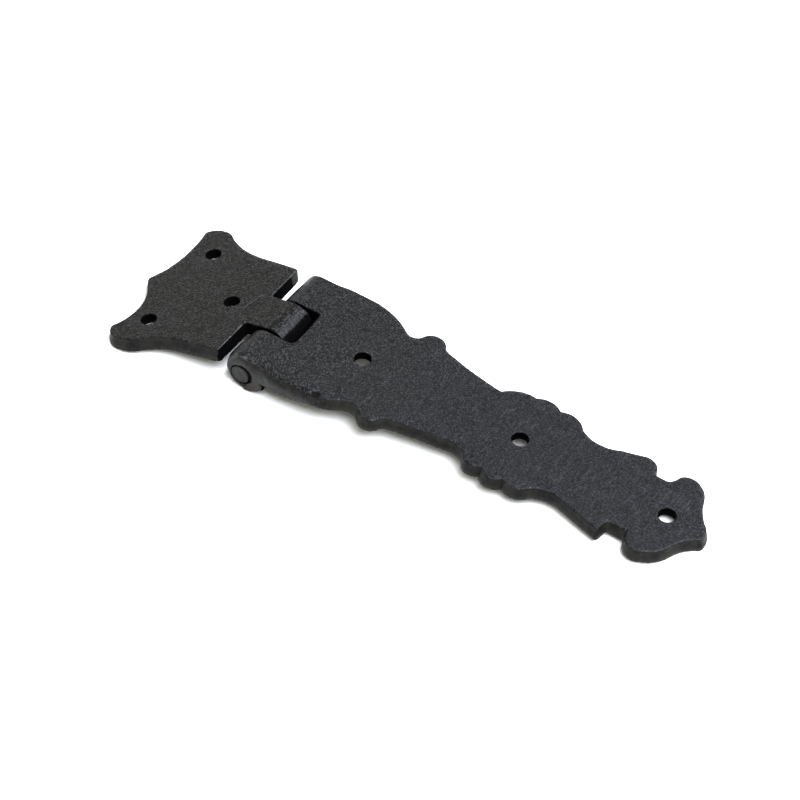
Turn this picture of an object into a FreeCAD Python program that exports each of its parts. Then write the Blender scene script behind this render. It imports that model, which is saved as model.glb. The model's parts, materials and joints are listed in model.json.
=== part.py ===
import FreeCAD, Part
import math
import os

from FreeCAD import Vector

# An ornamental strap hinge of blackened iron, lying open on its front, with its barrel underneath and the
# backs of its leaves, which go against the door and the frame, on top. Millimetres, +Z up. Each leaf is
# drawn flat about the pin: u runs along the hinge, v along the pin and w up from the pin's axis. The strap
# leaf takes +u and the frame leaf takes -u. Both are then tilted down about the pin until the barrel, the
# strap's tip and the frame leaf's tail all touch the surface that the hinge lies on. The origin is on that
# surface, under the middle of the whole hinge.

# Stock, barrel and pin
PLATE_THICKNESS = 4.3
BARREL_RADIUS = 6.2
PIN_RADIUS = 3.0
PIN_END_ROUNDING = 0.3
GRIP_GAP = 0.02
RUNNING_GAP = 0.06

# Knuckles along the pin: the strap's two outer ones, with the frame leaf's tongue in the slot between them
KNUCKLE_END = 19.9
SLOT_NEAR = -6.95
SLOT_FAR = 7.2
SLOT_END = 8.1
SLOT_NEAR_ROUNDING = 2.0
TONGUE_NEAR = -6.1
TONGUE_FAR = 6.7
FRAME_EDGE = -7.6
CORNER_ROUNDING = 0.8

# Each roll swells into a heel that comes up under its plate at a tight seam, as (u, w)
SEAM_END = (7.0, -0.2)
SEAM_GAP = 0.25
HEEL_START_ANGLE = 40.0
HEEL_TIP = (6.7, -2.6)

# The strap is thicker where it leaves its knuckles: its underside there, as (u, w), and where that ends
ROOT_START = (8.0, -0.5)
ROOT_TAPER_START = (15.0, 0.0)
ROOT_TAPER_END = 24.0

# The frame leaf's tail is drawn thinner underneath, beyond the line that it rests on
TAIL_LINE = 41.3
TAIL_END = 50.0
TAIL_DRAW_ANGLE = 13.0

# The pin's ends are hammered over to one side, each in a shallow mouth in its knuckle, with centres (u, w)
MOUTH_RADIUS = 3.35
MOUTH_CENTRE = (-1.05, -1.0)
MOUTH_DEPTH = 1.3
HEAD_CENTRE = (-1.28, -1.22)

# Screw holes, as (u, v): straight from the back, then countersunk at 90 degrees to the front
STRAP_HOLE_RADIUS = 2.5
FRAME_HOLE_RADIUS = 2.35
HOLE_STRAIGHT = 2.65
STRAP_HOLES = [(27.0, -0.1), (79.35, 0.3), (126.9, 0.3)]
FRAME_HOLES = [(-35.7, 16.4), (-35.4, -16.0), (-17.1, 0.1)]

# Hand-cut outlines, from the knuckle along the far edge (+v) to the end and back along the near edge. A
# stretch of one point is straight, and a stretch of two is an arc through the first point to the second.
STRAP_START = (-BARREL_RADIUS - 1, KNUCKLE_END)
STRAP_FAR_EDGE = [
    [(6.0, 20.3), (17.1, 20.5)],
    [(25.5, 18.8), (30.8, 15.9)],
    [(33.6, 15.2), (36.0, 16.6)],
    [(39.5, 19.5), (43.4, 16.8)],
    [(44.8, 16.1)],
    [(54.7, 13.8), (65.4, 12.2)],
    [(69.3, 15.2), (74.8, 15.9)],
    [(78.8, 17.2), (82.8, 15.5)],
    [(86.4, 16.4), (91.2, 13.4)],
    [(93.8, 12.2)],
    [(99.0, 11.5), (104.6, 13.2)],
    [(110.2, 14.9)],
    [(113.4, 15.1), (115.4, 13.6)],
    [(115.9, 11.6), (117.4, 10.8)],
    [(120.5, 10.8)],
    [(122.2, 12.2), (123.0, 14.5)],
    [(125.2, 15.7), (128.5, 14.9)],
    [(130.9, 12.9), (132.0, 10.2)],
    [(134.1, 6.6), (136.8, 3.7)],
    [(139.2, 0.6), (139.3, -2.1)],
]
STRAP_NEAR_EDGE = [
    [(135.4, -5.4), (133.5, -9.2)],
    [(131.3, -12.9), (127.9, -15.2)],
    [(123.8, -15.7), (121.3, -13.1)],
    [(120.9, -11.7), (119.4, -11.3)],
    [(114.6, -11.2)],
    [(114.2, -15.8)],
    [(106.6, -13.8), (99.5, -11.8)],
    [(95.5, -11.8), (91.3, -13.6)],
    [(86.4, -16.3), (83.2, -15.0)],
    [(79.8, -17.1), (75.8, -14.7)],
    [(72.6, -16.2), (69.4, -13.7)],
    [(66.0, -12.1), (62.0, -12.4)],
    [(54.0, -13.6), (44.8, -15.3)],
    [(43.6, -16.3)],
    [(40.4, -19.1), (36.8, -17.2)],
    [(33.4, -16.2), (30.2, -17.6)],
    [(25.4, -19.8), (18.5, -20.5)],
    [(8.0, -20.5)],
    [(-BARREL_RADIUS - 1, -KNUCKLE_END)],
]
FRAME_START = (FRAME_EDGE, KNUCKLE_END)
FRAME_FAR_EDGE = [
    [(-20.1, 20.2)],
    [(-28.4, 21.5), (-35.2, 25.3)],
    [(-39.0, 26.6), (-42.9, 25.5)],
    [(-43.9, 24.3)],
    [(-43.0, 14.0), (-44.4, 5.4)],
    [(-46.8, 1.2)],
    [(-47.3, -0.6), (-46.7, -1.8)],
]
FRAME_NEAR_EDGE = [
    [(-44.0, -5.6)],
    [(-41.7, -12.6), (-44.2, -22.4)],
    [(-42.9, -25.2), (-39.4, -26.6)],
    [(-36.3, -26.4), (-33.2, -25.2)],
    [(-27.2, -21.8), (-20.1, -20.6)],
    [(FRAME_EDGE, -KNUCKLE_END)],
]
TONGUE_EDGE = [
    [(FRAME_EDGE, TONGUE_NEAR)],
    [(BARREL_RADIUS + 1, TONGUE_NEAR)],
    [(BARREL_RADIUS + 1, TONGUE_FAR)],
    [(FRAME_EDGE, TONGUE_FAR)],
]

UNDERSIDE = BARREL_RADIUS - PLATE_THICKNESS
SHANK_END = KNUCKLE_END - MOUTH_DEPTH
ALONG_PIN = Vector(0, 1, 0)
BEYOND = 200.0


def plan_solid(start, stretches):
    """The outline pushed through more than the whole height of the hinge."""
    edges = []
    here = Vector(*start)
    for stretch in stretches:
        points = [Vector(*point) for point in stretch]
        if len(points) == 1:
            edges.append(Part.LineSegment(here, points[0]).toShape())
        else:
            edges.append(Part.Arc(here, points[0], points[1]).toShape())
        here = points[-1]
    edges.append(Part.LineSegment(here, Vector(*start)).toShape())
    face = Part.Face(Part.Wire(edges))
    face.translate(Vector(0, 0, -2 * BARREL_RADIUS))
    return face.extrude(Vector(0, 0, 4 * BARREL_RADIUS))


def round_upright(solid, corners, radius):
    """Rounds the upright edges of a plan solid that stand on these (u, v) corners."""
    chosen = []
    for edge in solid.Edges:
        middle = edge.BoundBox.Center
        for u, v in corners:
            if edge.BoundBox.ZLength > BARREL_RADIUS and math.hypot(middle.x - u, middle.y - v) < 0.01:
                chosen.append(edge)
    return solid.makeFillet(radius, chosen)


def long_bar(corners):
    """Polygon of (u, w) corners, run along the pin past both ends of the hinge."""
    points = [Vector(u, -BEYOND, w) for u, w in corners + corners[:1]]
    return Part.Face(Part.makePolygon(points)).extrude(2 * BEYOND * ALONG_PIN)


def pin_cylinder(radius, low, high, centre=(0, 0)):
    """Cylinder along the pin from v = low to v = high, round the pin's axis or another (u, w) centre."""
    return Part.makeCylinder(radius, high - low, Vector(centre[0], low, centre[1]), ALONG_PIN)


def rolled_bar(plate_corners):
    """Plate and its roll as seen along the pin, on the +u side. The plate reaches in over the seam."""
    seam_u, seam_w = SEAM_END
    heel_angle = math.radians(HEEL_START_ANGLE)
    heel_start = (BARREL_RADIUS * math.sin(heel_angle), -BARREL_RADIUS * math.cos(heel_angle))
    plate = long_bar(plate_corners + [SEAM_END, (0, seam_w)])
    heel = long_bar([(0, 0), heel_start, HEEL_TIP, SEAM_END, (0, seam_w)])
    seam = long_bar([(0, seam_w), SEAM_END, (seam_u, seam_w - SEAM_GAP), (0, seam_w - SEAM_GAP)])
    roll = pin_cylinder(BARREL_RADIUS, -BEYOND, BEYOND)
    return plate.fuse([roll, heel]).cut(seam).removeSplitter()


def drill(leaf, holes, radius):
    """Cuts the screw holes: a straight hole down from the back that opens into a countersink at the front."""
    sink_start = BARREL_RADIUS - HOLE_STRAIGHT
    sink_depth = sink_start + BARREL_RADIUS
    for u, v in holes:
        straight = Part.makeCylinder(radius, HOLE_STRAIGHT + 1, Vector(u, v, sink_start))
        down = Vector(0, 0, -1)
        sink = Part.makeCone(radius, radius + sink_depth, sink_depth, Vector(u, v, sink_start), down)
        leaf = leaf.cut(straight.fuse(sink))
    return leaf


def strap_leaf():
    """Long ornamental strap with a rolled knuckle at each side of its slot."""
    plan = plan_solid(STRAP_START, STRAP_FAR_EDGE + STRAP_NEAR_EDGE)
    slot_corner = Vector(SLOT_END - BEYOND, SLOT_NEAR, -BEYOND / 2)
    slot = Part.makeBox(BEYOND, SLOT_FAR - SLOT_NEAR, BEYOND, slot_corner)
    plan = round_upright(plan.cut(slot), [(SLOT_END, SLOT_FAR)], CORNER_ROUNDING)
    plan = round_upright(plan, [(SLOT_END, SLOT_NEAR)], SLOT_NEAR_ROUNDING)
    plate = [
        (0, BARREL_RADIUS),
        (BEYOND, BARREL_RADIUS),
        (BEYOND, UNDERSIDE),
        (ROOT_TAPER_END, UNDERSIDE),
        ROOT_TAPER_START,
        ROOT_START,
    ]
    mouth_foot = SHANK_END - GRIP_GAP
    bore = pin_cylinder(PIN_RADIUS + GRIP_GAP, -SHANK_END, SHANK_END)
    near_mouth = pin_cylinder(MOUTH_RADIUS, -BEYOND, -mouth_foot, MOUTH_CENTRE)
    far_mouth = pin_cylinder(MOUTH_RADIUS, mouth_foot, BEYOND, MOUTH_CENTRE)
    leaf = plan.common(rolled_bar(plate)).cut([bore, near_mouth, far_mouth])
    return drill(leaf, STRAP_HOLES, STRAP_HOLE_RADIUS)


def frame_leaf():
    """Short horned leaf with one rolled tongue at the middle of its edge."""
    plan = plan_solid(FRAME_START, FRAME_FAR_EDGE + FRAME_NEAR_EDGE + TONGUE_EDGE)
    corners = [(FRAME_EDGE, v) for v in (-KNUCKLE_END, TONGUE_NEAR, TONGUE_FAR, KNUCKLE_END)]
    plan = round_upright(plan, corners, CORNER_ROUNDING)
    tail_rise = (TAIL_END - TAIL_LINE) * math.tan(math.radians(TAIL_DRAW_ANGLE))
    plate = [
        (0, BARREL_RADIUS),
        (TAIL_END, BARREL_RADIUS),
        (TAIL_END, UNDERSIDE + tail_rise),
        (TAIL_LINE, UNDERSIDE),
        (SEAM_END[0], UNDERSIDE),
    ]
    bar = rolled_bar(plate).mirror(Vector(0, 0, 0), Vector(1, 0, 0))
    bore = pin_cylinder(PIN_RADIUS + RUNNING_GAP, -BEYOND, BEYOND)
    return drill(plan.common(bar).cut(bore), FRAME_HOLES, FRAME_HOLE_RADIUS)


def hinge_pin():
    """Plain pin through all three knuckles, its ends hammered over to one side and rounded at the rim."""
    shank = pin_cylinder(PIN_RADIUS, -SHANK_END, SHANK_END)
    near_head = pin_cylinder(PIN_RADIUS, -KNUCKLE_END, -SHANK_END, HEAD_CENTRE)
    far_head = pin_cylinder(PIN_RADIUS, SHANK_END, KNUCKLE_END, HEAD_CENTRE)
    pin = shank.fuse([near_head, far_head])
    rims = [edge for edge in pin.Edges if abs(abs(edge.BoundBox.Center.y) - KNUCKLE_END) < 0.01]
    return pin.makeFillet(PIN_END_ROUNDING, rims)


def touch_down_angle(along):
    """Tilt, in degrees, that brings the underside this far from the pin down to the barrel's lowest line."""
    reach = math.hypot(along, UNDERSIDE)
    return math.degrees(math.asin(BARREL_RADIUS / reach) + math.atan2(UNDERSIDE, along))


def main():
    shapes = {"strap_leaf": strap_leaf(), "frame_leaf": frame_leaf(), "hinge_pin": hinge_pin()}
    strap_tilt = touch_down_angle(shapes["strap_leaf"].optimalBoundingBox(False, False).XMax)
    frame_tilt = touch_down_angle(TAIL_LINE)
    tilts = {"strap_leaf": strap_tilt, "frame_leaf": -frame_tilt, "hinge_pin": strap_tilt}
    for name, shape in shapes.items():
        shape.rotate(Vector(0, 0, 0), ALONG_PIN, tilts[name])

    whole = Part.makeCompound(list(shapes.values())).optimalBoundingBox(False, False)
    to_origin = Vector(-whole.Center.x, -whole.Center.y, -whole.ZMin)
    os.makedirs("parts", exist_ok=True)
    for name, shape in shapes.items():
        shape.translate(to_origin)
        shape.exportStep(f"parts/{name}.step")
        print(name, "solids", len(shape.Solids), "valid", shape.isValid(), "volume", round(shape.Volume, 1))
    print("strap tilt", strap_tilt, "frame tilt", frame_tilt)
    print("pin axis", to_origin.x, to_origin.y, to_origin.z)


main()
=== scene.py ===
import json
import math
from collections.abc import Callable
from dataclasses import dataclass

import bmesh
import bpy
import numpy as np
from mathutils import Matrix, Vector, noise


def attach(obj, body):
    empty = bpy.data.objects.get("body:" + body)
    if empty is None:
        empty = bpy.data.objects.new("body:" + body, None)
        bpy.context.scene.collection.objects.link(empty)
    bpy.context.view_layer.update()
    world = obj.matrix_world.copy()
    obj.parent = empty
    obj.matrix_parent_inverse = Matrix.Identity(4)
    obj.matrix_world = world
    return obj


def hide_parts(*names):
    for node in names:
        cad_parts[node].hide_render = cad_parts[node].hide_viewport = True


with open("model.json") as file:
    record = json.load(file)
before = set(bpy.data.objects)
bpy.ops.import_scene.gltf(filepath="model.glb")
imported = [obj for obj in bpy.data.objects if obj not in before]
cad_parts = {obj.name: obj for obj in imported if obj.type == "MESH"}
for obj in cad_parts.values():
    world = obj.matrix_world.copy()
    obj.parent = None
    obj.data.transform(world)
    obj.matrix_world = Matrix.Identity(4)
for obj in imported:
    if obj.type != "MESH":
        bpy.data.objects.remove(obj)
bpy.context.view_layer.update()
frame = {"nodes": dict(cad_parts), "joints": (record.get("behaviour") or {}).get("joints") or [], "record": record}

# A blackened-iron strap hinge. Each leaf keeps its CAD shape and gets a forged surface: soft edges, an uneven
# hand-cut outline and shallow dents. Its bore, mouths, seam and screw holes are filled before that and cut
# again after it, so that they stay crisp. Metres, in the row frame. A piece is worked on lying flat in its
# own frame: u along the hinge, v along the pin and w up from the pin's axis. The near side is -v. A pair of
# numbers that step() takes is where a smooth rise starts and where it ends.

MM = 0.001
PIN_AXIS = Vector(frame["joints"][0]["pos_m"])
MOUNTS = {mount["name"]: mount for mount in frame["record"]["mounts"]}

# Sizes that the cutters share with the CAD model
BARREL_RADIUS = PIN_AXIS.z
PLATE_THICKNESS = 4.3 * MM
UNDERSIDE = BARREL_RADIUS - PLATE_THICKNESS
PIN_RADIUS = 3.0 * MM
MOUTH_RADIUS = 3.35 * MM
MOUTH_CENTRE = (-1.05 * MM, -1.0 * MM)
KNUCKLE_END = 19.9 * MM
MOUTH_FOOT = 18.6 * MM
SLOT_NEAR, SLOT_FAR = -6.95 * MM, 7.2 * MM
SLOT_END = 8.1 * MM
TONGUE_NEAR, TONGUE_FAR = -6.1 * MM, 6.7 * MM
SEAM_LOW, SEAM_HIGH = -0.45 * MM, -0.2 * MM
SEAM_END = 7.0 * MM
FRAME_EDGE = -7.6 * MM

# Filling, remeshing and cutting. The seam's mouth is its outline as (u, w) corners.
FILL = 0.3 * MM
INSET = 0.05 * MM
WELD = 0.001 * MM
STRAP_VOXEL = 0.37 * MM
FRAME_VOXEL = 0.29 * MM
PIN_VOXEL = 0.2 * MM
BORE_RADIUS = PIN_RADIUS + 0.06 * MM
RIM = 0.14 * MM
SEAM_MOUTH = [(4.8 * MM, -0.33 * MM), (8.2 * MM, 0.10 * MM), (8.2 * MM, -2.1 * MM), (6.0 * MM, -0.55 * MM)]
LATHE_SEGMENTS = 96
HOLE_WOBBLE, MOUTH_WOBBLE = 0.03, 0.02
WOBBLE_TURNS = 1.6
SEED_SHIFT = (17.3, 5.1, 9.7)

# Softening: everywhere, and then more beside the near knuckle and at the frame leaf's far corner
EDGE_PASSES = 3
SOFT_PASSES = 20
SOFT_SHARE = 0.5
ROOT_HEIGHT, ROOT_SIDE, ROOT_END = (0, 2 * MM), (14 * MM, 17 * MM), (20 * MM, 27 * MM)
CORNER_SIDE, CORNER_END = (17.5 * MM, 19.5 * MM), (-10 * MM, -8 * MM)
CORNER_SHARE = 0.6

# Dents and the ragged outline, as height and length, and their least share on a wall and on the barrel
OFF_BARREL = (7.5 * MM, 10 * MM)
SWELL = (0.06 * MM, 13 * MM)
DENTS = (0.03 * MM, 2.6 * MM)
RAGGED = (0.08 * MM, 4.0 * MM)
RAGGED_STRETCH = (1, 1, 0.3)
DENTS_ON_WALL, DENTS_ON_BARREL, RAGGED_ON_BARREL = 0.35, 0.4, 0.1

# How far the outline grows level at its top, at its foot and on its far side, which gives back what
# softening takes off. It doesn't grow on side walls that are within SLOT_ROOM of the tongue's middle.
SPREAD_TOP, SPREAD_FOOT, SPREAD_FAR = -0.12 * MM, 0.46 * MM, 0.62 * MM
FOOT_DEPTH = (0.4 * MM, 3.0 * MM)
FAR_PART = (0, 8 * MM)
TO_BARREL, TO_SIDE = (0.2, 0.8), (0.2, 0.6)
SLOT_ROOM = 9.5 * MM

# The slot's end, and how much nearer it comes
SLOT_TIGHTER = 0.35 * MM
SLOT_RISE, SLOT_FADE, SLOT_HEIGHT = (6.5 * MM, 7.6 * MM), (8.6 * MM, 9.8 * MM), (0, 1.5 * MM)
SLOT_NEAR_SIDE = (SLOT_NEAR - 0.4 * MM, SLOT_NEAR + 0.6 * MM)
SLOT_FAR_SIDE = (SLOT_FAR - 0.6 * MM, SLOT_FAR)

# Uneven rolls: how far in or out, and the middle and width of that in degrees round the roll from +u
ROLL_SKIN, ROLL_FADE = (4.5 * MM, 5.5 * MM), (0, 3 * MM)
TIGHTER, TIGHTEST, TIGHT_ROUND = 0.30 * MM, 0.60 * MM, (168, 32)
TIGHT_START, TIGHTEST_PART = (7.0 * MM, 7.4 * MM), (12 * MM, 19 * MM)
LOOSER, LOOSE_ROUND, LOOSE_PART = 0.50 * MM, (150, 38), (9 * MM, 15 * MM)

# The near rim: its radius, which widens just past the knuckle and narrows again along the strap, and how
# far the strap's side bulges out there
NEAR_RADIUS, NEAR_WIDER, NEAR_NARROWER = 1.1 * MM, 1.5 * MM, 0.8
NEAR_WIDENS, NEAR_NARROWS = (0, 5 * MM), (13 * MM, 25 * MM)
SIDE_BULGE, SIDE_BULGES = 0.5 * MM, (0, 12 * MM)

# The raised line on the frame leaf's back, between two (u, v) points
CREASE_START, CREASE_END = (-12.0 * MM, -1.0 * MM), (-10.4 * MM, 6.4 * MM)
CREASE_WIDTH, CREASE_HEIGHT, CREASE_FADE = 0.3 * MM, 0.07 * MM, 1 / 5

# The pin's hammered ends: dents as height and length, and how far and which way the metal is driven over
PEEN = 0.30 * MM
PEEN_WAY = (-0.72, 0, -0.69)
END_FACE = (KNUCKLE_END - 0.5 * MM, KNUCKLE_END - 0.1 * MM)
HAMMER_DENTS = (0.09 * MM, 1.7 * MM)
HAMMER_MARKS = (0.03 * MM, 0.6 * MM)
HAMMER_DEPTH = 0.05 * MM
HAMMER_SEED = 11

# Wear and painted highlights: rubbed lines, as start, end and width, which also serve as painted highlights on the
# near knuckle's rim, the frame leaf's edge and its crease, and pits, as place, radius and depth
WEAR_PASSES = 6
WEAR_DEPTH = 0.34 * MM
SCUFF_AND_HIGHLIGHT_WEIGHT, PIT_WEIGHT = 1.2, 4
BACK_EDGE = 6.15 * MM
KNUCKLE_SCUFFS_AND_HIGHLIGHTS = [
    ((-5.3 * MM, -19.2 * MM, 2.2 * MM), (-3.4 * MM, -18.9 * MM, 4.6 * MM), 0.8 * MM),
    ((-3.4 * MM, -18.9 * MM, 4.6 * MM), (0.2 * MM, -18.9 * MM, 5.7 * MM), 0.8 * MM),
]
FRAME_SCUFFS_AND_HIGHLIGHTS = [
    ((-7.8 * MM, -19.5 * MM, BACK_EDGE), (-7.8 * MM, -6.0 * MM, BACK_EDGE), 0.40 * MM),
    ((-7.8 * MM, 7.0 * MM, BACK_EDGE), (-7.8 * MM, 19.5 * MM, BACK_EDGE), 0.40 * MM),
    ((*CREASE_START, BACK_EDGE), (*CREASE_END, BACK_EDGE), 0.30 * MM),
]
STRAP_PITS = [
    ((23.3 * MM, -19.2 * MM, 6.1 * MM), 0.65 * MM, 0.5 * MM),
    ((24.4 * MM, -18.9 * MM, 6.1 * MM), 0.75 * MM, 0.6 * MM),
    ((19.6 * MM, -19.2 * MM, 5.9 * MM), 0.45 * MM, 0.3 * MM),
]

# Kinds of face: the flattest wall's normal along w, the reach and length of the walls' ragged border, and
# the least slope of a side or end face that is painted black as shade, like the heel's flank and the frame leaf's
# edge
FLATTEST_WALL = 0.82
BORDER_RAGGED = (12 * MM, 0.6 * MM)
MOUTH_BORDER = 0.2 * RIM
SIDE_SLOPE, END_SLOPE = 0.5, 0.3
HEEL_START, HEEL_END = SEAM_END - 2.2 * MM, SEAM_END + 0.6 * MM
EDGE_SHADE_END = KNUCKLE_END - 3.4 * MM
SHARP_ANGLE = math.radians(35)

# The tongue's roll, in degrees down from its top: where the painted black shade starts, where painted shade
# fades in before it, and how ragged both are
TONGUE_SHADE_START = 53
SHADE_FADE_ROUND = (TONGUE_SHADE_START - 9, TONGUE_SHADE_START + 2)
SHADE_RAGGED, SHADE_FADE_RAGGED = 6, 3
TONGUE_BORDER, TONGUE_SEED = 0.7 * MM, 8

# Tones of the blackened iron. Sizes of patterns are in millimetres. A roughness pair is its value where the
# pattern is 0 and where it is 1.
WALL_DARK = (0.0018, 0.0018, 0.0015)
WALL_OLIVE = (0.0072, 0.0073, 0.0054)
RUST = (0.0115, 0.0060, 0.0040)
# Pale rubbed edges, which also serve as painted highlights on the near knuckle's rim and the frame leaf's edge
WORN_EDGE_AND_HIGHLIGHT = (0.055, 0.056, 0.052)
# Near black: the painted shade in recesses and shaded faces, and its paler flecks; the same dark fills pits and
# concave corners
SHADE_AND_PIT_DARK = (0.0002, 0.0002, 0.0002)
SHADE_PALE = (0.0008, 0.0008, 0.0007)
COOL_REACH = (-30, 30)
CLOUD_SIZE, CLOUD_SHARE = 16.0, 0.7
WARM_TO_COOL = (0.38, 0.60)
BRUSH_TURN = math.radians(-7)
BRUSH_SIZE = (0.38, 4.5, 2.0)
BRUSH_MARKS, BRUSH_SHARE = (0.54, 0.74), 0.45
PORES, SPECKS, FINE_SPECKS = (0.42, 0.36), (0.52, 0.59), (0.40, 0.60)
FINEST_SPECKS, FAR_SPECKS = 0.5, 0.7
PATCH_SIZE, MOTTLE_SIZE, MOTTLED = 5.0, 1.5, (0.80, 1.18)
RUSTY_PLACE = (PIN_AXIS + Vector((4.2, -19.9, -4.0)) * MM) / MM
RUST_REACH, RUST_PATCHES, RUST_GRAIN = (4.5, 1.5), (0.57, 0.66), (0.25, 0.60)
RUST_PATCH_SHARE = 0.25
BACK_FACING = (0.55, 0.80)
FINE_SIZE, FINE_RELIEF, WALL_RELIEF = 0.6, 0.4, 0.45
# Where edges, rubbed lines and painted highlights turn pale
WORN_AND_HIGHLIT, WORN_AND_HIGHLIT_GRAIN, WORN_AND_HIGHLIT_SHARE = (0.62, 0.98), (0.42, 0.60), 0.8
# Where pits, concave corners and the painted shade on the tongue's roll turn near black
PITS_AND_SHADE, PIT_ROUGHNESS = (-0.35, -0.80), 0.5
SMEAR_SIZE, SMEAR_ROUGHNESS, WALL_ROUGHER = 7.0, (0.24, 0.38), 0.14
# Flecks, roughness, specular and relief of the painted black shade
FLAKE_SIZE, FLAKES, FLAKE_ROUGHNESS = 0.9, (0.45, 0.65), (0.72, 0.92)
SHADE_SPECULAR, FLAKE_RELIEF = 0.02, 0.12 * MM

# Stage and light
FLOOR_REACH = 3.0
FLOOR_COLOUR = (0.90, 0.89, 0.81, 1)
FLOOR_ROUGHNESS = 0.9
KEY_PLACE, KEY_SIZE = (1.33, 0.35, 2.0), (1.88, 3.4)
KEY_RADIANCE, KEY_COLOUR = 18.0, (0.91, 0.95, 1.13)
WORLD_COLOUR, WORLD_STRENGTH = (1.0, 1.0, 0.95, 1), 0.80

# Camera: its angles, and its aim from the pin's axis
CAMERA_AZIMUTH = 33.39
CAMERA_ELEVATION = 45.39
CAMERA_ROLL = 0.10
CAMERA_DISTANCE = 1.085
CAMERA_LENS = 174.09
CAMERA_SENSOR = 36
CAMERA_CLIP = (0.05, 20)
CAMERA_AIM = PIN_AXIS + Vector((42.54, -4.08, 0)) * MM


# ---------------------------------------------------------------- mesh helpers


def new_object(name, data):
    piece = bpy.data.objects.new(name, data)
    bpy.context.scene.collection.objects.link(piece)
    return piece


def mesh_from(solid, name):
    """Turns a bmesh into a mesh, and frees the bmesh."""
    mesh = bpy.data.meshes.new(name)
    solid.to_mesh(mesh)
    solid.free()
    return mesh


def lathe(solid, profile, place, wobble=0.0):
    """Adds a closed turned shape to a bmesh. The profile is (radius, height) pairs up its own z axis."""
    rings = []
    for radius, height in profile:
        ring = []
        for k in range(LATHE_SEGMENTS):
            angle = 2 * math.pi * k / LATHE_SEGMENTS
            across, along = math.cos(angle), math.sin(angle)
            unevenness = noise.noise((WOBBLE_TURNS * across, WOBBLE_TURNS * along, place[0][3] / MM))
            reach = radius * (1 + wobble * unevenness)
            ring.append(solid.verts.new(place @ Vector((reach * across, reach * along, height))))
        rings.append(ring)
    for low, high in zip(rings, rings[1:]):
        for k in range(LATHE_SEGMENTS):
            after = (k + 1) % LATHE_SEGMENTS
            solid.faces.new((low[k], low[after], high[after], high[k]))
    solid.faces.new(rings[0][::-1])
    solid.faces.new(rings[-1])


def along_v(centre=(0, 0)):
    """Placement that turns a lathe's z axis into v, about (u, w) = centre."""
    return Matrix.Translation((centre[0], 0, centre[1])) @ Matrix.Rotation(-math.pi / 2, 4, "X")


def block(solid, low, high):
    """Adds a box between two corners to a bmesh."""
    size = Matrix.Diagonal([b - a for a, b in zip(low, high)] + [1])
    middle = Matrix.Translation([(a + b) / 2 for a, b in zip(low, high)])
    bmesh.ops.create_cube(solid, size=1, matrix=middle @ size)


def prism(solid, corners, low, high):
    """Adds a bar with these (u, w) corners to a bmesh, along v between two places."""
    ends = [[solid.verts.new((u, v, w)) for u, w in corners] for v in (low, high)]
    solid.faces.new(ends[0])
    solid.faces.new(ends[1][::-1])
    for k in range(len(corners)):
        after = (k + 1) % len(corners)
        solid.faces.new((ends[0][after], ends[0][k], ends[1][k], ends[1][after]))


def applied(piece, modifier_type, **settings):
    """Puts one modifier on a piece and applies it."""
    modifier = piece.modifiers.new("step", modifier_type)
    for key, value in settings.items():
        setattr(modifier, key, value)
    evaluated = piece.evaluated_get(bpy.context.evaluated_depsgraph_get())
    mesh = bpy.data.meshes.new_from_object(evaluated)
    piece.modifiers.clear()
    old = piece.data
    piece.data = mesh
    bpy.data.meshes.remove(old)


def cut(piece, cutter_solid):
    """Cuts a bmesh's closed shapes out of a piece."""
    bmesh.ops.recalc_face_normals(cutter_solid, faces=cutter_solid.faces)
    mesh = mesh_from(cutter_solid, "cutter")
    cutter = new_object("cutter", mesh)
    applied(piece, "BOOLEAN", operation="DIFFERENCE", solver="EXACT", object=cutter)
    bpy.data.objects.remove(cutter)
    bpy.data.meshes.remove(mesh)


def vectors_of(items, name):
    """One vector of every vertex or face, as rows."""
    values = np.empty(len(items) * 3)
    items.foreach_get(name, values)
    return values.reshape(-1, 3)


def points_of(mesh):
    return vectors_of(mesh.vertices, "co")


def normals_of(mesh):
    return vectors_of(mesh.vertices, "normal")


def set_points(mesh, points):
    mesh.vertices.foreach_set("co", points.ravel())
    mesh.update()


def smoothed(mesh, passes, share=0.5):
    """Vertex places after moving each towards its neighbours' middle, by a share that may vary."""
    edges = np.empty(len(mesh.edges) * 2, dtype=np.int64)
    mesh.edges.foreach_get("vertices", edges)
    a, b = edges.reshape(-1, 2).T
    count = len(mesh.vertices)
    degree = np.maximum(np.bincount(a, minlength=count) + np.bincount(b, minlength=count), 1)
    points = points_of(mesh)
    for _ in range(passes):
        for axis in range(3):
            column = points[:, axis]
            total = np.bincount(a, column[b], count) + np.bincount(b, column[a], count)
            points[:, axis] = column + share * (total / degree - column)
    return points


def wave(points, length, seed):
    """Smooth noise from about -1 to 1, with the given length between bumps, at each point."""
    shift = Vector([seed * part for part in SEED_SHIFT])
    return np.array([noise.noise(Vector(p) / length + shift) for p in points])


def step(values, start, end):
    """0 before start, 1 after end, and a smooth rise between them."""
    t = np.clip((values - start) / (end - start), 0, 1)
    return t * t * (3 - 2 * t)


def hump(values, middle, width):
    """A smooth bump of height 1 at the middle."""
    return np.exp(-((values - middle) / width) ** 2)


def no_less(least, values):
    """Values from 0 to 1, brought into the range from a least value to 1."""
    return least + (1 - least) * values


def distance_to_line(points, start, end):
    """How far each point is from the straight line between two places."""
    line = end - start
    share = np.clip((points - start) @ line / (line @ line), 0, 1)
    return np.linalg.norm(points - start - share[:, None] * line, axis=1)


# ---------------------------------------------------------------- leaves


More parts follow.
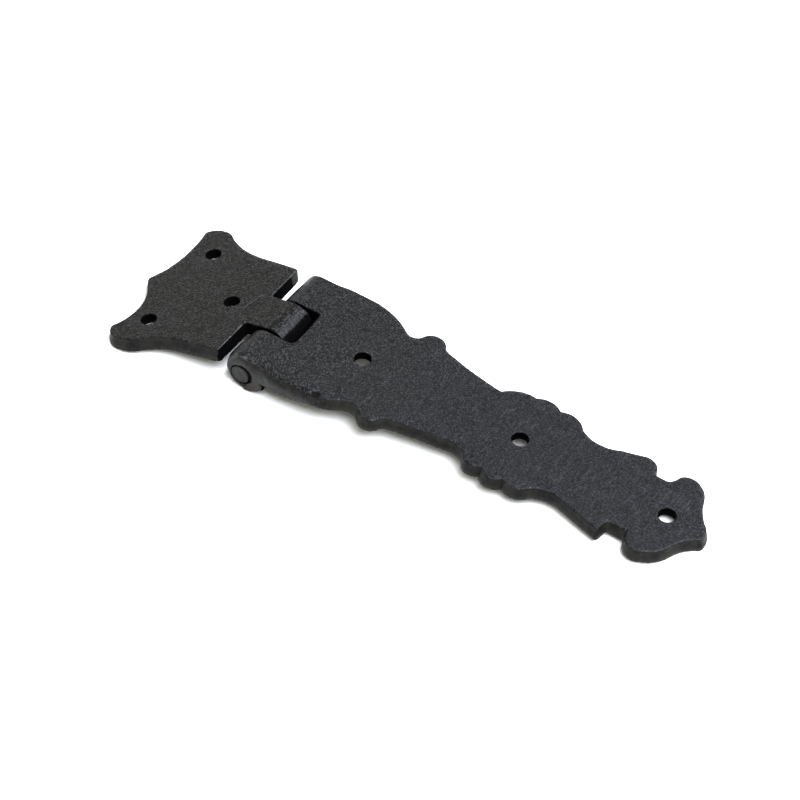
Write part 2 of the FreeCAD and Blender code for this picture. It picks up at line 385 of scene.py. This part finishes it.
@dataclass
class Leaf:
    """What a leaf's mesh is worked out from. Its side is 1 where it takes +u and -1 where it takes -u.

    Knuckles, bores and mouths are each a list of (low, high) along v. The walls' finish, with less specular as
    painted shade, starts at walls_start along the leaf. Where the outline faces the barrel, only the share
    barrel_spread of its growth is left.
    """

    node: str
    side: int
    voxel: float
    seed: int
    to_row: Matrix
    knuckles: list
    bores: list
    mouths: list
    holes: list
    soft_places: Callable
    painted_shade_faces: Callable
    fading_shade: Callable
    barrel_spread: float
    walls_start: float
    scuffs_and_highlights: list
    pits: list


def leaf_to_row(back_face):
    """Matrix from a leaf's own flat frame to the row frame, from the way that its back faces."""
    axis = MOUNTS[back_face]["axis"]
    tilt = math.atan2(axis[0], axis[2])
    return Matrix.Translation(PIN_AXIS) @ Matrix.Rotation(tilt, 4, "Y")


def screw_holes(prefix, to_row):
    """Each screw hole of a leaf as (u, v, radius, straight length), from its mount."""
    holes = []
    for name, mount in MOUNTS.items():
        if name.startswith(prefix) and mount["kind"] == "bore":
            u, v, _ = to_row.inverted() @ Vector(mount["pos_m"])
            holes.append((u, v, mount["dims"]["r_mm"] * MM, mount["dims"]["length_mm"] * MM))
    return holes


def cad_solid(node, to_row):
    """A CAD node's mesh as a welded bmesh, lying flat in its leaf's own frame."""
    solid = bmesh.new()
    solid.from_mesh(frame["nodes"][node].data)
    bmesh.ops.remove_doubles(solid, verts=solid.verts, dist=WELD)
    bmesh.ops.transform(solid, matrix=to_row.inverted(), verts=solid.verts)
    return solid


def remeshed(solid, name, voxel):
    """An object of a bmesh's shapes, joined and remeshed as one closed skin."""
    piece = new_object(name, mesh_from(solid, name))
    applied(piece, "REMESH", mode="VOXEL", voxel_size=voxel)
    return piece


def filled_leaf(leaf):
    """A leaf with every bore, mouth, seam and screw hole filled, remeshed as one closed skin."""
    solid = cad_solid(leaf.node, leaf.to_row)
    for low, high in leaf.bores:
        lathe(solid, [(PIN_RADIUS + FILL, low + INSET), (PIN_RADIUS + FILL, high - INSET)], along_v())
    for low, high in leaf.mouths:
        profile = [(MOUTH_RADIUS + FILL, low + INSET), (MOUTH_RADIUS + FILL, high - INSET)]
        lathe(solid, profile, along_v(MOUTH_CENTRE))
    for low, high in leaf.knuckles:
        near, far = sorted((leaf.side * (PIN_RADIUS - INSET), leaf.side * (SEAM_END - INSET)))
        block(solid, (near, low + INSET, SEAM_LOW - INSET), (far, high - INSET, SEAM_HIGH + INSET))
    for u, v, radius, straight in leaf.holes:
        sunk = radius + PLATE_THICKNESS - straight + FILL
        profile = [(sunk, UNDERSIDE + INSET), (sunk, BARREL_RADIUS - INSET)]
        lathe(solid, profile, Matrix.Translation((u, v, 0)))
    return remeshed(solid, leaf.node + "_forged", leaf.voxel)


def surface_push(points, normals, off_barrel, seed):
    """How far each point moves along its normal: shallow dents on the faces, and ragged walls."""
    flat = np.abs(normals[:, 2])
    swell = SWELL[0] * wave(points, SWELL[1], seed)
    dents = DENTS[0] * wave(points, DENTS[1], seed + 1)
    ragged = RAGGED[0] * wave(points * RAGGED_STRETCH, RAGGED[1], seed + 2)
    push = (swell + dents) * no_less(DENTS_ON_WALL, flat) * no_less(DENTS_ON_BARREL, off_barrel)
    return push + ragged * (1 - flat) * no_less(RAGGED_ON_BARREL, off_barrel)


def outline_spread(points, normals, leaf):
    """How far each point moves level along its normal: less towards the barrel, and nothing by the tongue."""
    foot = step(BARREL_RADIUS - points[:, 2], *FOOT_DEPTH)
    near_spread = SPREAD_TOP + (SPREAD_FOOT - SPREAD_TOP) * foot
    spread = near_spread + (SPREAD_FAR - near_spread) * step(points[:, 1], *FAR_PART)
    to_barrel = step(-leaf.side * normals[:, 0], *TO_BARREL)
    by_tongue = (np.abs(points[:, 0]) < SLOT_ROOM) & (np.abs(points[:, 1]) < SLOT_ROOM)
    to_side = step(np.abs(normals[:, 1]), *TO_SIDE)
    return spread * (1 - (1 - leaf.barrel_spread) * to_barrel) * (1 - by_tongue * to_side)


def forge(mesh, leaf):
    """Softens the edges and works the surface: shallow dents on the faces and an uneven, hand-cut outline."""
    set_points(mesh, smoothed(mesh, EDGE_PASSES))
    set_points(mesh, smoothed(mesh, SOFT_PASSES, SOFT_SHARE * leaf.soft_places(points_of(mesh))))
    points = points_of(mesh)
    normals = normals_of(mesh)
    off_barrel = step(np.hypot(points[:, 0], points[:, 2]), *OFF_BARREL)
    push = surface_push(points, normals, off_barrel, leaf.seed)
    spread = outline_spread(points, normals, leaf) * off_barrel
    set_points(mesh, points + normals * push[:, None] + normals * (1, 1, 0) * spread[:, None])


def strap_soft_places(points):
    """Where the strap is worn round: its near edge beside the knuckle."""
    u, v, w = points.T
    return step(w, *ROOT_HEIGHT) * step(-v, *ROOT_SIDE) * (1 - step(u, *ROOT_END))


def frame_soft_places(points):
    """Where the frame leaf is worn round: the corner that stands by the far knuckle."""
    u, v, _ = points.T
    return CORNER_SHARE * step(v, *CORNER_SIDE) * step(u, *CORNER_END)


def uneven_rolls(mesh):
    """Rolls the far knuckle a little tighter than the CAD's, and the near one's outer end a little looser."""
    points = points_of(mesh)
    u, v, w = points.T
    around = np.degrees(np.arctan2(w, u))
    on_roll = step(np.hypot(u, w), *ROLL_SKIN) * (1 - step(u, *ROLL_FADE))
    tighter = TIGHTER + (TIGHTEST - TIGHTER) * step(v, *TIGHTEST_PART)
    tighter *= step(v, *TIGHT_START) * hump(around, *TIGHT_ROUND)
    looser = LOOSER * step(-v, *LOOSE_PART) * hump(around, *LOOSE_ROUND)
    out = points * (1, 0, 1) / np.hypot(u, w)[:, None]
    set_points(mesh, points + out * ((looser - tighter) * on_roll)[:, None])


def close_slot_end(mesh):
    """Brings the end of the strap's slot nearer to the tongue, by what softening its edges takes off."""
    points = points_of(mesh)
    u, v, w = points.T
    at_end = step(u, *SLOT_RISE) * (1 - step(u, *SLOT_FADE)) * step(w, *SLOT_HEIGHT)
    at_end *= step(v, *SLOT_NEAR_SIDE) * (1 - step(v, *SLOT_FAR_SIDE))
    points[:, 0] -= SLOT_TIGHTER * at_end
    set_points(mesh, points)


def round_near_rim(mesh):
    """Rounds the edge between the strap's back and its near side, most of all just beside the knuckle."""
    points = points_of(mesh)
    u, v, w = points.T
    outward = np.where((u < 0)[:, None], points * (1, 0, 1) / np.hypot(u, w)[:, None], (0.0, 0.0, 1.0))
    height = (points * outward).sum(axis=1)
    radius = NEAR_RADIUS + NEAR_WIDER * step(u, *NEAR_WIDENS)
    radius *= 1 - NEAR_NARROWER * step(u, *NEAR_NARROWS)
    over_height = height - (BARREL_RADIUS - radius)
    over_side = -v - (KNUCKLE_END + SIDE_BULGE * step(u, *SIDE_BULGES) - radius)
    reach = np.hypot(over_height, over_side)
    corner = (over_height > 0) & (over_side > 0) & (reach > radius)
    excess = np.where(corner, 1 - radius / np.maximum(reach, radius), 0)
    inward = outward * (over_height * excess)[:, None] + (0, -1, 0) * (over_side * excess)[:, None]
    set_points(mesh, points - inward)


def press_pits(mesh, pits):
    """Presses the leaf's small round pits into the skin, each a place, a radius and a depth."""
    for place, radius, depth in pits:
        points = points_of(mesh)
        near = hump(np.linalg.norm(points - place, axis=1), 0, radius)
        set_points(mesh, points - normals_of(mesh) * (depth * near)[:, None])


def raise_crease(mesh):
    """Raises a faint straight line on the frame leaf's back."""
    points = points_of(mesh)
    start = np.array(CREASE_START)
    line = np.array(CREASE_END) - start
    length = np.linalg.norm(line)
    direction = line / length
    from_start = points[:, :2] - start
    along = from_start @ direction / length
    across = from_start @ np.array((-direction[1], direction[0]))
    raised = hump(across, 0, CREASE_WIDTH) * step(points[:, 2], BARREL_RADIUS - CREASE_WIDTH, BARREL_RADIUS)
    raised *= step(along, 0, CREASE_FADE) * (1 - step(along, 1 - CREASE_FADE, 1))
    points[:, 2] += CREASE_HEIGHT * raised
    set_points(mesh, points)


def cut_bores_and_holes(piece, leaf):
    """Cuts the bores, and the screw holes with their countersinks and eased rims."""
    cutter = bmesh.new()
    for low, high in leaf.bores:
        lathe(cutter, [(BORE_RADIUS, low - FILL), (BORE_RADIUS, high + FILL)], along_v())
    for u, v, radius, straight in leaf.holes:
        sink_start = BARREL_RADIUS - straight
        sink_depth = sink_start - UNDERSIDE + FILL
        profile = [(radius + sink_depth, sink_start - sink_depth), (radius, sink_start),
                   (radius, BARREL_RADIUS - RIM), (radius + 3 * RIM, BARREL_RADIUS + 2 * RIM)]
        lathe(cutter, profile, Matrix.Translation((u, v, 0)), HOLE_WOBBLE)
    cut(piece, cutter)


def cut_seams(piece, leaf):
    """Cuts the open end of each knuckle's seam. The rest of the seam is closed tight."""
    cutter = bmesh.new()
    for low, high in leaf.knuckles:
        prism(cutter, [(leaf.side * u, w) for u, w in SEAM_MOUTH], low - 2 * FILL, high + 2 * FILL)
    cut(piece, cutter)


def cut_mouths(piece, leaf):
    """Cuts the shallow mouths round the pin's ends, each with an eased outer rim."""
    cutter = bmesh.new()
    wide = MOUTH_RADIUS + 3 * RIM
    for low, high in leaf.mouths:
        if low < 0:
            profile = [(wide, low - 2 * RIM), (MOUTH_RADIUS, low + RIM), (MOUTH_RADIUS, high)]
        else:
            profile = [(MOUTH_RADIUS, low), (MOUTH_RADIUS, high - RIM), (wide, high + 2 * RIM)]
        lathe(cutter, profile, along_v(MOUTH_CENTRE), MOUTH_WOBBLE)
    cut(piece, cutter)


def strap_piece(leaf):
    piece = filled_leaf(leaf)
    uneven_rolls(piece.data)
    close_slot_end(piece.data)
    round_near_rim(piece.data)
    forge(piece.data, leaf)
    press_pits(piece.data, leaf.pits)
    cut_bores_and_holes(piece, leaf)
    cut_seams(piece, leaf)
    cut_mouths(piece, leaf)
    return piece


def frame_piece(leaf):
    piece = filled_leaf(leaf)
    forge(piece.data, leaf)
    raise_crease(piece.data)
    cut_bores_and_holes(piece, leaf)
    cut_seams(piece, leaf)
    return piece


def pin_piece(leaf):
    """The pin with its hammered ends: slightly domed, dented and driven over at the rim."""
    piece = remeshed(cad_solid("hinge_pin", leaf.to_row), "hinge_pin_peened", PIN_VOXEL)
    mesh = piece.data
    set_points(mesh, smoothed(mesh, EDGE_PASSES))
    points = points_of(mesh)
    normals = normals_of(mesh)
    on_face = step(np.abs(points[:, 1]), *END_FACE)
    dents = HAMMER_DENTS[0] * wave(points, HAMMER_DENTS[1], HAMMER_SEED)
    dents += HAMMER_MARKS[0] * wave(points, HAMMER_MARKS[1], HAMMER_SEED + 1)
    points += normals * ((dents - HAMMER_DEPTH) * on_face)[:, None]
    in_mouth = np.abs(points[:, 1]) > MOUTH_FOOT
    driven = PEEN * np.maximum(normals @ PEEN_WAY, 0) * in_mouth
    set_points(mesh, points + driven[:, None] * PEEN_WAY)
    return piece


# ---------------------------------------------------------------- wear and kinds of face


# The strap has no painted shade fading in
def no_fading_shade(points):
    return np.zeros(len(points))


def on_tongue(u, v):
    return (v > TONGUE_NEAR - 2 * RIM) & (v < TONGUE_FAR + 2 * RIM) & (u > FRAME_EDGE - RIM)


def tongue_fading_shade(points):
    """Painted shade that darkens the tongue's roll as it turns down into the slot, just before the painted black.
    """
    u, v, w = points.T
    around = np.degrees(np.arctan2(u, w)) + SHADE_FADE_RAGGED * wave(points, TONGUE_BORDER, TONGUE_SEED)
    return on_tongue(u, v) * (u > 0) * step(around, *SHADE_FADE_ROUND)


def mark_edges(mesh, leaf):
    """Stores how far each point stands out of its surroundings, for paler worn edges and darker concave corners.

    A scuff is a rubbed line between two places, which also serves as a painted highlight, and counts as standing
    out. Pits and the painted shade on the tongue's roll count as sunk.
    """
    points = points_of(mesh)
    stand = ((points - smoothed(mesh, WEAR_PASSES)) * normals_of(mesh)).sum(axis=1) / WEAR_DEPTH
    for start, end, width in leaf.scuffs_and_highlights:
        from_line = distance_to_line(points, np.array(start), np.array(end))
        stand += SCUFF_AND_HIGHLIGHT_WEIGHT * hump(from_line, 0, width)
    for place, radius, _ in leaf.pits:
        stand -= PIT_WEIGHT * hump(np.linalg.norm(points - place, axis=1), 0, radius)
    # The painted shade on the tongue's roll counts as sunk
    stand -= leaf.fading_shade(points)
    wear_and_shade = mesh.attributes.new("wear_and_shade", "FLOAT", "POINT")
    wear_and_shade.data.foreach_set("value", np.clip(stand, -1, 1))


def strap_painted_shade_faces(centres, normals):
    """The walls of the strap's slot, and the flank of each knuckle's heel, under the plate: faces painted black as
    shade.
    """
    u, v, w = centres.T
    in_slot = (v > SLOT_NEAR - RIM) & (v < SLOT_FAR + RIM) & (u < SLOT_END + RIM)
    slot_end = (normals[:, 0] < -END_SLOPE) & (u > 0)
    slot = in_slot & ((np.abs(normals[:, 1]) > SIDE_SLOPE) | slot_end)
    heel = (normals[:, 0] > END_SLOPE) & (w < SEAM_HIGH) & (u > HEEL_START) & (u < HEEL_END)
    return slot | heel


def frame_painted_shade_faces(centres, normals):
    """The edge over the knuckles, the tongue's sides, and its roll where that turns down into the slot: faces
    painted black as shade.
    """
    u, v, w = centres.T
    tongue = on_tongue(u, v)
    sides = tongue & (np.abs(normals[:, 1]) > SIDE_SLOPE)
    around = np.degrees(np.arctan2(u, w)) + SHADE_RAGGED * wave(centres, TONGUE_BORDER, TONGUE_SEED)
    roll = tongue & (around > TONGUE_SHADE_START) & (u > 0)
    edge = (normals[:, 0] > SIDE_SLOPE) & (np.abs(u - FRAME_EDGE) < 4 * RIM) & (v < EDGE_SHADE_END)
    return sides | roll | edge


def in_recess(centres, steep, leaf):
    """Which faces lie in a leaf's bores, seams, mouths and screw holes, all painted black as shade."""
    u, v, w = centres.T
    recessed = np.hypot(u, w) < BORE_RADIUS + RIM
    for low, high in leaf.knuckles:
        in_seam = (v > low) & (v < high) & (w > SEAM_LOW) & (w < SEAM_HIGH)
        recessed |= in_seam & (leaf.side * u > 0) & (leaf.side * u < SEAM_END)
    for low, high in leaf.mouths:
        from_mouth = np.hypot(u - MOUTH_CENTRE[0], w - MOUTH_CENTRE[1])
        recessed |= (from_mouth < MOUTH_RADIUS + MOUTH_BORDER) & (v > low) & (v < high)
    for hole_u, hole_v, radius, straight in leaf.holes:
        sunk = radius + PLATE_THICKNESS - straight
        recessed |= steep & (np.hypot(u - hole_u, v - hole_v) < sunk)
    return recessed


def face_kinds(mesh, leaf):
    """Each face's material: 0 on the leaf's faces, 1 on its walls, which have less specular as painted shade, and
    2 in a recess or on a face where shade falls, painted black as shade.
    """
    centres = vectors_of(mesh.polygons, "center")
    normals = vectors_of(mesh.polygons, "normal")
    steep = np.abs(normals[:, 2]) < FLATTEST_WALL
    recessed = in_recess(centres, steep, leaf) | leaf.painted_shade_faces(centres, normals)
    ragged = BORDER_RAGGED[0] * wave(centres, BORDER_RAGGED[1], leaf.seed + 3)
    walls = steep & (leaf.side * centres[:, 0] + ragged > leaf.walls_start)
    return np.where(recessed, 2, np.where(walls, 1, 0)).astype(np.int32)


def finish_piece(piece, leaf, node, materials):
    """Gives a piece its materials, by kind of face where it has several, and puts it in the row frame."""
    mesh = piece.data
    mark_edges(mesh, leaf)
    mesh.materials.clear()
    for material in materials:
        mesh.materials.append(material)
    if len(materials) > 1:
        mesh.polygons.foreach_set("material_index", face_kinds(mesh, leaf))
    mesh.transform(leaf.to_row)
    mesh.update()
    mesh.shade_smooth()
    mesh.set_sharp_from_angle(angle=SHARP_ANGLE)
    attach(piece, leaf.node)
    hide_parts(node)


# ---------------------------------------------------------------- materials


class Nodes:
    """Short names for building one node material."""

    def __init__(self, name):
        self.material = bpy.data.materials.new(name)
        self.material.use_nodes = True
        self.tree = self.material.node_tree
        self.tree.nodes.clear()
        self.shader = self.add("ShaderNodeBsdfPrincipled")
        self.link(self.shader.outputs[0], self.add("ShaderNodeOutputMaterial").inputs["Surface"])

    def add(self, kind, **settings):
        node = self.tree.nodes.new(kind)
        for key, value in settings.items():
            setattr(node, key, value)
        return node

    def link(self, source, target):
        self.tree.links.new(source, target)

    def fill(self, socket, value):
        """Sets a number or a colour on a socket, or links a node's output to it."""
        if isinstance(value, (int, float)):
            socket.default_value = value
        elif isinstance(value, tuple):
            socket.default_value = (*value, 1)
        else:
            self.link(value, socket)

    def math(self, operation, *values, clamp=False):
        node = self.add("ShaderNodeMath", operation=operation, use_clamp=clamp)
        for value, socket in zip(values, node.inputs):
            self.fill(socket, value)
        return node.outputs[0]

    def between(self, value, at_0, at_1):
        """A number that is at_0 where the value is 0 and at_1 where it is 1."""
        return self.math("MULTIPLY_ADD", value, at_1 - at_0, at_0)

    def millimetres(self, size=(1, 1, 1), turn=(0, 0, 0)):
        """Object coordinates in millimetres, turned, and divided by the pattern's size in each direction."""
        place = self.add("ShaderNodeTexCoord")
        mapping = self.add("ShaderNodeMapping")
        mapping.inputs["Rotation"].default_value = turn
        mapping.inputs["Scale"].default_value = [1 / (MM * length) for length in size]
        self.link(place.outputs["Object"], mapping.inputs["Vector"])
        return mapping.outputs[0]

    def noise(self, vector, size, detail=2.0, roughness=0.5):
        node = self.add("ShaderNodeTexNoise")
        node.inputs["Scale"].default_value = 1 / size
        node.inputs["Detail"].default_value = detail
        node.inputs["Roughness"].default_value = roughness
        self.link(vector, node.inputs["Vector"])
        return node.outputs["Fac"]

    def step(self, value, start, end):
        """0 before start, 1 after end, and a smooth rise between them."""
        node = self.add("ShaderNodeMapRange", interpolation_type="SMOOTHSTEP")
        node.inputs["From Min"].default_value = start
        node.inputs["From Max"].default_value = end
        self.link(value, node.inputs["Value"])
        return node.outputs["Result"]

    def facing(self, up):
        """1 where the surface faces the up direction, and 0 from about 55 degrees away from it."""
        place = self.add("ShaderNodeTexCoord")
        along = self.add("ShaderNodeVectorMath", operation="DOT_PRODUCT")
        along.inputs[1].default_value = up
        self.link(place.outputs["Normal"], along.inputs[0])
        return self.step(along.outputs["Value"], *BACK_FACING)

    def distance(self, place, point):
        node = self.add("ShaderNodeVectorMath", operation="DISTANCE")
        node.inputs[1].default_value = point
        self.link(place, node.inputs[0])
        return node.outputs["Value"]

    def along_x(self, place):
        node = self.add("ShaderNodeSeparateXYZ")
        self.link(place, node.inputs[0])
        return node.outputs["X"]

    def attribute(self, name):
        return self.add("ShaderNodeAttribute", attribute_name=name).outputs["Fac"]

    def mix(self, factor, a, b):
        """Colour a where the factor is 0, and b where it is 1."""
        node = self.add("ShaderNodeMix", data_type="RGBA")
        sockets = [node.inputs[0]] + [s for s in node.inputs if s.type == "RGBA"]
        for value, socket in zip((factor, a, b), sockets):
            self.fill(socket, value)
        return next(s for s in node.outputs if s.type == "RGBA")

    def bump(self, height, distance):
        node = self.add("ShaderNodeBump")
        node.inputs["Distance"].default_value = distance
        self.link(height, node.inputs["Height"])
        return node.outputs["Normal"]


@dataclass
class Tones:
    """Colours of one piece's blackened back: two slow tints, the grain's pale specks and its dark pores."""

    cool: tuple
    warm: tuple
    specks: tuple
    pores: tuple


def iron_back(n, tones, place, grain, fine):
    """Colour of the grained back of a leaf, warmer by the knuckles, with brush marks across the strap."""
    clouds = n.noise(place, CLOUD_SIZE)
    out_along = n.step(n.along_x(place), *COOL_REACH)
    coolness = n.math("MULTIPLY", clouds, CLOUD_SHARE)
    coolness = n.math("ADD", coolness, n.math("MULTIPLY", out_along, 1 - CLOUD_SHARE))
    colour = n.mix(n.step(coolness, *WARM_TO_COOL), tones.warm, tones.cool)
    colour = n.mix(n.step(grain, *PORES), colour, tones.pores)
    specks = n.between(n.step(fine, *FINE_SPECKS), FINEST_SPECKS, 1.0)
    specks = n.math("MULTIPLY", specks, n.step(grain, *SPECKS))
    specks = n.math("MULTIPLY", specks, n.between(out_along, 1.0, FAR_SPECKS))
    brushed = n.noise(n.millimetres(BRUSH_SIZE, (0, 0, BRUSH_TURN)), 1.0)
    strokes = n.math("MULTIPLY", n.step(brushed, *BRUSH_MARKS), n.math("MULTIPLY", out_along, BRUSH_SHARE))
    return n.mix(n.math("ADD", specks, strokes, clamp=True), colour, tones.specks)


def iron_walls(n, place, fine):
    """Colour of the smoother cut walls: olive with darker patches, and rust by the near knuckle's heel."""
    patches = n.noise(place, PATCH_SIZE, detail=3.0, roughness=0.6)
    mottle = n.noise(place, MOTTLE_SIZE, detail=3.0, roughness=0.65)
    colour = n.mix(n.step(n.math("ADD", patches, mottle), *MOTTLED), WALL_DARK, WALL_OLIVE)
    by_heel = n.step(n.distance(place, RUSTY_PLACE), *RUST_REACH)
    in_patches = n.math("MULTIPLY", n.step(patches, *RUST_PATCHES), RUST_PATCH_SHARE)
    rusty = n.math("ADD", by_heel, in_patches, clamp=True)
    return n.mix(n.math("MULTIPLY", rusty, n.step(fine, *RUST_GRAIN)), colour, RUST)


def black_iron(name, up, tones, grain_size, specular, relief_height):
    """Black wax over forged iron, grained on the side that faces up and smoother elsewhere, with pale worn edges
    that also serve as painted highlights, and near-black pits, concave corners and painted shade.
    """
    n = Nodes(name)
    place = n.millimetres()
    back = n.facing(up)
    grain = n.noise(place, grain_size, detail=2.0, roughness=0.6)
    fine = n.noise(place, FINE_SIZE * grain_size, detail=1.0)
    stand = n.attribute("wear_and_shade")
    # Paler on worn edges and on the painted highlights along the rubbed lines
    worn_and_highlit = n.math("MULTIPLY", n.step(stand, *WORN_AND_HIGHLIT), n.step(fine, *WORN_AND_HIGHLIT_GRAIN))
    # Near black in pits, concave corners and the painted shade on the tongue's roll
    pits_and_shade = n.step(stand, *PITS_AND_SHADE)
    colour = n.mix(back, iron_walls(n, place, fine), iron_back(n, tones, place, grain, fine))
    colour = n.mix(n.math("MULTIPLY", worn_and_highlit, WORN_AND_HIGHLIT_SHARE), colour, WORN_EDGE_AND_HIGHLIGHT)
    n.link(n.mix(pits_and_shade, colour, SHADE_AND_PIT_DARK), n.shader.inputs["Base Color"])

    roughness = n.between(n.noise(place, SMEAR_SIZE), *SMEAR_ROUGHNESS)
    roughness = n.math("ADD", roughness, n.between(back, WALL_ROUGHER, 0.0))
    roughness = n.math("ADD", roughness, n.math("MULTIPLY", pits_and_shade, PIT_ROUGHNESS))
    n.link(roughness, n.shader.inputs["Roughness"])
    n.shader.inputs["Specular IOR Level"].default_value = specular

    relief = n.math("ADD", grain, n.math("MULTIPLY", fine, FINE_RELIEF))
    relief = n.math("MULTIPLY", relief, n.between(back, WALL_RELIEF, 1.0))
    n.link(n.bump(relief, relief_height), n.shader.inputs["Normal"])
    return n.material


def painted_shade_black():
    """Painted shade: a dull near-black with faint flecks, on the slot, the gap, the screw holes, the knuckles'
    mouths and other faces where shade falls.
    """
    n = Nodes("painted_shade_black")
    flakes = n.noise(n.millimetres(), FLAKE_SIZE, detail=3.0, roughness=0.6)
    n.link(n.mix(n.step(flakes, *FLAKES), SHADE_AND_PIT_DARK, SHADE_PALE), n.shader.inputs["Base Color"])
    n.link(n.between(flakes, *FLAKE_ROUGHNESS), n.shader.inputs["Roughness"])
    n.shader.inputs["Specular IOR Level"].default_value = SHADE_SPECULAR
    n.link(n.bump(flakes, FLAKE_RELIEF), n.shader.inputs["Normal"])
    return n.material


# ---------------------------------------------------------------- stage


def floor_material():
    n = Nodes("white_floor")
    n.shader.inputs["Base Color"].default_value = FLOOR_COLOUR
    n.shader.inputs["Roughness"].default_value = FLOOR_ROUGHNESS
    n.shader.inputs["Specular IOR Level"].default_value = 0.0
    return n.material


def add_floor():
    grid = bmesh.new()
    bmesh.ops.create_grid(grid, x_segments=1, y_segments=1, size=FLOOR_REACH)
    floor = new_object("floor", mesh_from(grid, "floor"))
    floor.data.materials.append(floor_material())


def add_key_softbox():
    """Level rectangular light that shines straight down from a place above the floor."""
    light = bpy.data.lights.new("key_softbox", "AREA")
    light.shape = "RECTANGLE"
    light.size, light.size_y = KEY_SIZE
    light.energy = KEY_RADIANCE * math.pi * KEY_SIZE[0] * KEY_SIZE[1]
    light.color = KEY_COLOUR
    new_object("key_softbox", light).location = KEY_PLACE


def set_world():
    world = bpy.data.worlds.new("studio")
    world.use_nodes = True
    background = world.node_tree.nodes["Background"]
    background.inputs["Color"].default_value = WORLD_COLOUR
    background.inputs["Strength"].default_value = WORLD_STRENGTH
    bpy.context.scene.world = world


def add_camera():
    azimuth, elevation, roll = (math.radians(a) for a in (CAMERA_AZIMUTH, CAMERA_ELEVATION, CAMERA_ROLL))
    level = Vector((math.sin(azimuth), -math.cos(azimuth), 0))
    back = math.cos(elevation) * level + Vector((0, 0, math.sin(elevation)))
    right = Vector((math.cos(azimuth), math.sin(azimuth), 0))
    up = back.cross(right)
    turned_right = math.cos(roll) * right + math.sin(roll) * up
    turned_up = math.cos(roll) * up - math.sin(roll) * right
    axes = Matrix((turned_right, turned_up, back)).transposed().to_4x4()
    data = bpy.data.cameras.new("camera")
    data.lens = CAMERA_LENS
    data.sensor_width = CAMERA_SENSOR
    data.clip_start, data.clip_end = CAMERA_CLIP
    camera = new_object("camera", data)
    camera.matrix_world = Matrix.Translation(CAMERA_AIM + CAMERA_DISTANCE * back) @ axes
    bpy.context.scene.camera = camera


# ---------------------------------------------------------------- build

strap_to_row = leaf_to_row("strap_back")
frame_to_row = leaf_to_row("frame_back")
strap_leaf = Leaf(
    node="strap_leaf", side=1, voxel=STRAP_VOXEL, seed=1, to_row=strap_to_row,
    knuckles=[(-KNUCKLE_END, SLOT_NEAR), (SLOT_FAR, KNUCKLE_END)],
    bores=[(-MOUTH_FOOT, SLOT_NEAR), (SLOT_FAR, MOUTH_FOOT)],
    mouths=[(-KNUCKLE_END, -MOUTH_FOOT), (MOUTH_FOOT, KNUCKLE_END)],
    holes=screw_holes("strap_screw", strap_to_row),
    soft_places=strap_soft_places, painted_shade_faces=strap_painted_shade_faces, fading_shade=no_fading_shade,
    barrel_spread=1.0, walls_start=21 * MM, scuffs_and_highlights=KNUCKLE_SCUFFS_AND_HIGHLIGHTS, pits=STRAP_PITS)
frame_leaf = Leaf(
    node="frame_leaf", side=-1, voxel=FRAME_VOXEL, seed=5, to_row=frame_to_row,
    knuckles=[(TONGUE_NEAR, TONGUE_FAR)], bores=[(TONGUE_NEAR, TONGUE_FAR)], mouths=[],
    holes=screw_holes("frame_screw", frame_to_row),
    soft_places=frame_soft_places, painted_shade_faces=frame_painted_shade_faces, fading_shade=tongue_fading_shade,
    barrel_spread=0.2, walls_start=0.0, scuffs_and_highlights=FRAME_SCUFFS_AND_HIGHLIGHTS, pits=[])

strap_up = strap_to_row.to_3x3() @ Vector((0, 0, 1))
frame_up = frame_to_row.to_3x3() @ Vector((0, 0, 1))
strap_tones = Tones(cool=(0.0014, 0.0014, 0.0018), warm=(0.0015, 0.0016, 0.0011),
                    specks=(0.0285, 0.0287, 0.0280), pores=(0.0002, 0.0002, 0.0002))
frame_tones = Tones(cool=(0.0013, 0.0014, 0.0011), warm=(0.0014, 0.0014, 0.0010),
                    specks=(0.0235, 0.0235, 0.0201), pores=(0.0002, 0.0002, 0.0002))
strap_iron = black_iron("black_iron_strap", strap_up, strap_tones,
                        grain_size=0.42, specular=0.115, relief_height=0.22 * MM)
# The walls' copies have less specular, which darkens the walls as painted shade
strap_walls_shaded = black_iron("black_iron_strap_walls_shaded", strap_up, strap_tones,
                         grain_size=0.42, specular=0.062, relief_height=0.18 * MM)
frame_iron = black_iron("black_iron_frame", frame_up, frame_tones,
                        grain_size=0.50, specular=0.112, relief_height=0.18 * MM)
frame_walls_shaded = black_iron("black_iron_frame_walls_shaded", frame_up, frame_tones,
                         grain_size=0.50, specular=0.056, relief_height=0.16 * MM)
pin_iron = black_iron("pin_iron", Vector((0, 0, 1)), frame_tones,
                      grain_size=0.50, specular=0.125, relief_height=0.10 * MM)
# Near-black painted shade for recesses and faces where shade falls
shade_black = painted_shade_black()

finish_piece(strap_piece(strap_leaf), strap_leaf, "strap_leaf",
             [strap_iron, strap_walls_shaded, shade_black])
finish_piece(frame_piece(frame_leaf), frame_leaf, "frame_leaf",
             [frame_iron, frame_walls_shaded, shade_black])
finish_piece(pin_piece(strap_leaf), strap_leaf, "hinge_pin", [pin_iron])

add_floor()
add_key_softbox()
set_world()
add_camera()
bpy.context.scene.view_settings.view_transform = "Standard"
